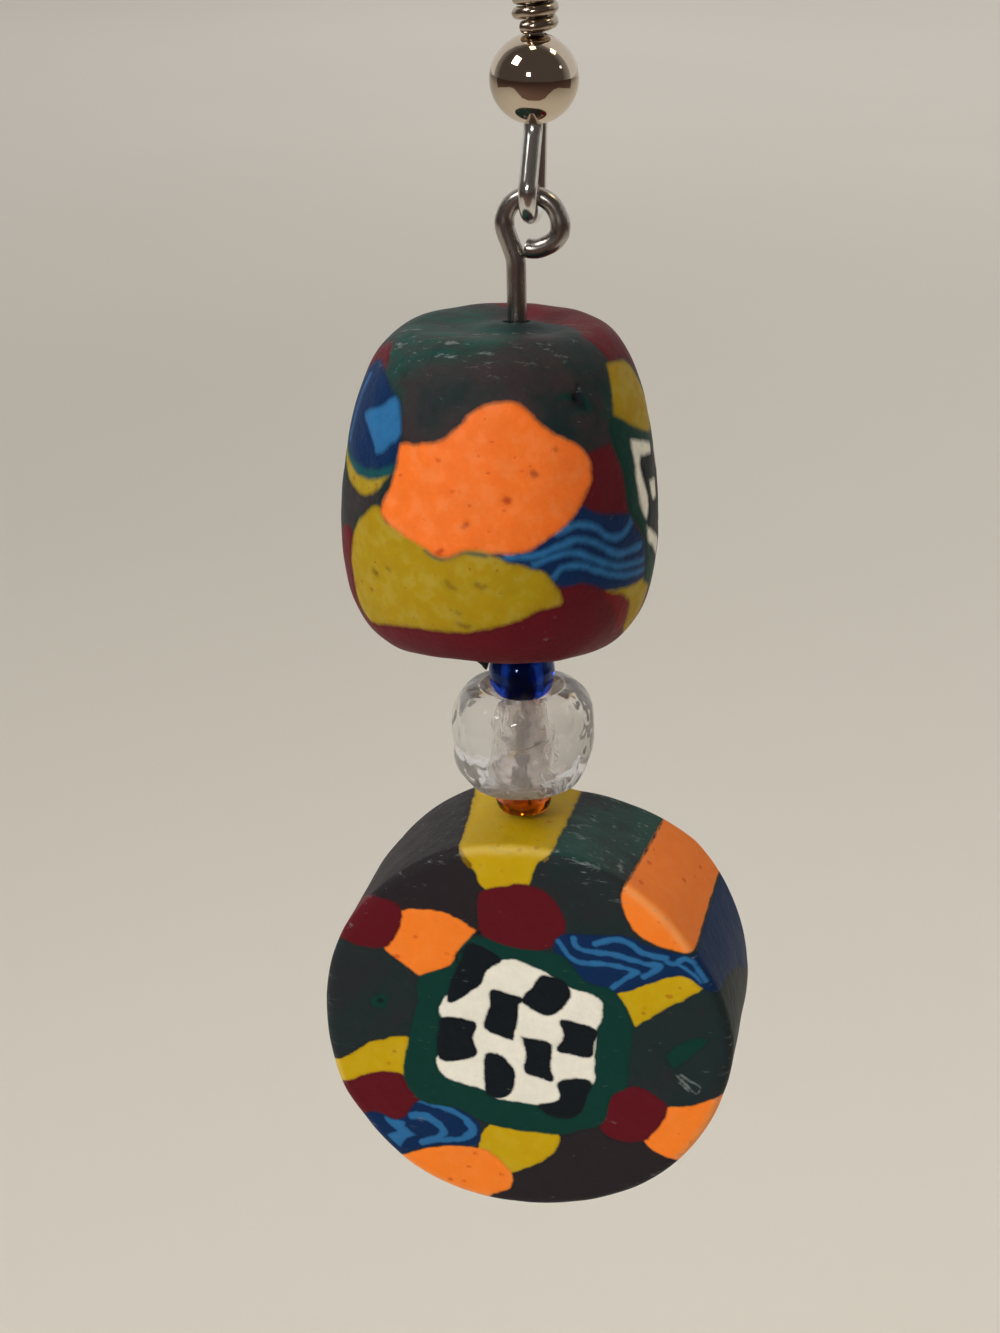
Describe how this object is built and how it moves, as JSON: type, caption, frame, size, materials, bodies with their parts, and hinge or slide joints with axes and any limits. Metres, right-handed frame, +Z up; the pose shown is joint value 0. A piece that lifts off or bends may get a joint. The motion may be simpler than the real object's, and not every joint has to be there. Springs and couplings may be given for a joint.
{
  "type": "drop earring",
  "caption": "Drop earring: ear wire with coil and ball, and a hanging head pin with a patchwork clay barrel bead, glass beads and a thick patchwork clay disc.",
  "frame": {"origin": "underside of the ear wire at the top of its arc, where the ear lobe's hole carries it", "axes": "+Z up, +Y towards the back of the ear, where the rear leg is; the disc bead's patterned face looks towards -Y and the pin's open loop lies in the XZ plane"},
  "size_m": [0.0157, 0.0145, 0.0577],
  "materials": {
    "hook_metal": "polished",
    "pin_metal": "satin",
    "barrel_clay": "matte",
    "disc_clay": "matte",
    "blue_glass": "gloss",
    "clear_glass": "gloss",
    "amber_glass": "gloss"
  },
  "bodies": {
    "hook": {"ear_hook": "hook_metal", "hook_coil": "hook_metal", "hook_ball": "hook_metal"},
    "drop": {"head_pin": "pin_metal", "blue_bead": "blue_glass", "clear_bead": "clear_glass", "amber_bead": "amber_glass"},
    "barrel": {"barrel_bead": "barrel_clay"},
    "disc": {"disc_bead": "disc_clay"}
  },
  "joints": [
    {"name": "drop_swing", "type": "hinge", "parent": "hook", "child": "drop", "pos_m": [0, -0.0043, -0.01863], "axis": [0, 1, 0], "range_deg": [-80, 80]},
    {"name": "barrel_spin", "type": "hinge", "parent": "drop", "child": "barrel", "pos_m": [-0.00031, -0.0043, -0.02816], "axis": [-0.027, 0, 0.9996], "continuous": true},
    {"name": "disc_spin", "type": "hinge", "parent": "drop", "child": "disc", "pos_m": [0.00025, -0.0043, -0.0488], "axis": [-0.027, 0, 0.9996], "continuous": true}
  ]
}
